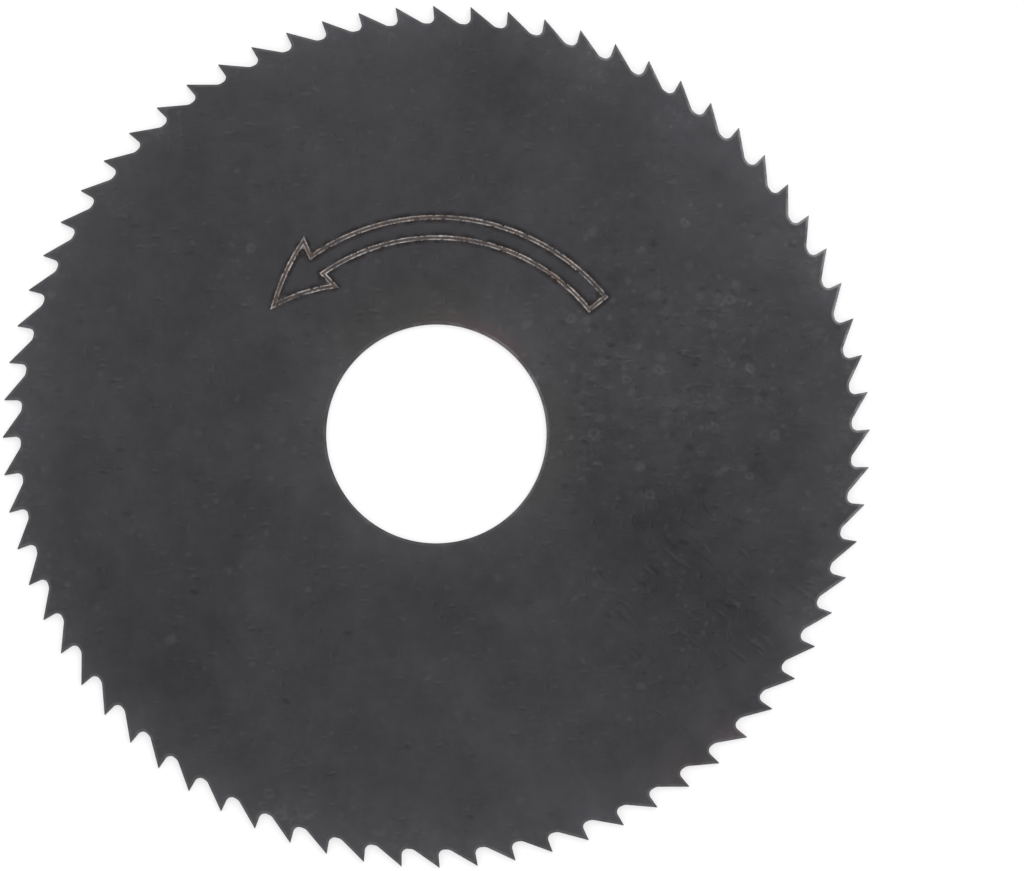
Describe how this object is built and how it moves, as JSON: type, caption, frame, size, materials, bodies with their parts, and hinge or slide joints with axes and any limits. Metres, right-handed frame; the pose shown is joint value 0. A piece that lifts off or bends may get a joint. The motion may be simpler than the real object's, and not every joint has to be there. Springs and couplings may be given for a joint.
{
  "type": "circular saw blade",
  "caption": "Thin circular slitting saw blade for metal: a steam-blackened high-speed steel disc with hooked teeth round its rim, hollow-ground sides and a plain arbor bore.",
  "frame": {"origin": "centre of the bore on the lower face: the blade lies flat on Z = 0", "axes": "+Z along the bore axis; seen from +Z the teeth point counter-clockwise; +X runs 0.15 degrees short of a tooth tip"},
  "size_m": [0.063, 0.063, 0.0006],
  "materials": {
    "steam_oxidised_steel": "steam-oxidised high-speed steel, near black with a dull metal sheen, faint mottling and fine scratches, edges rubbed a little brighter"
  },
  "bodies": {
    "root": {"saw_blade": "steam_oxidised_steel"}
  },
  "joints": []
}
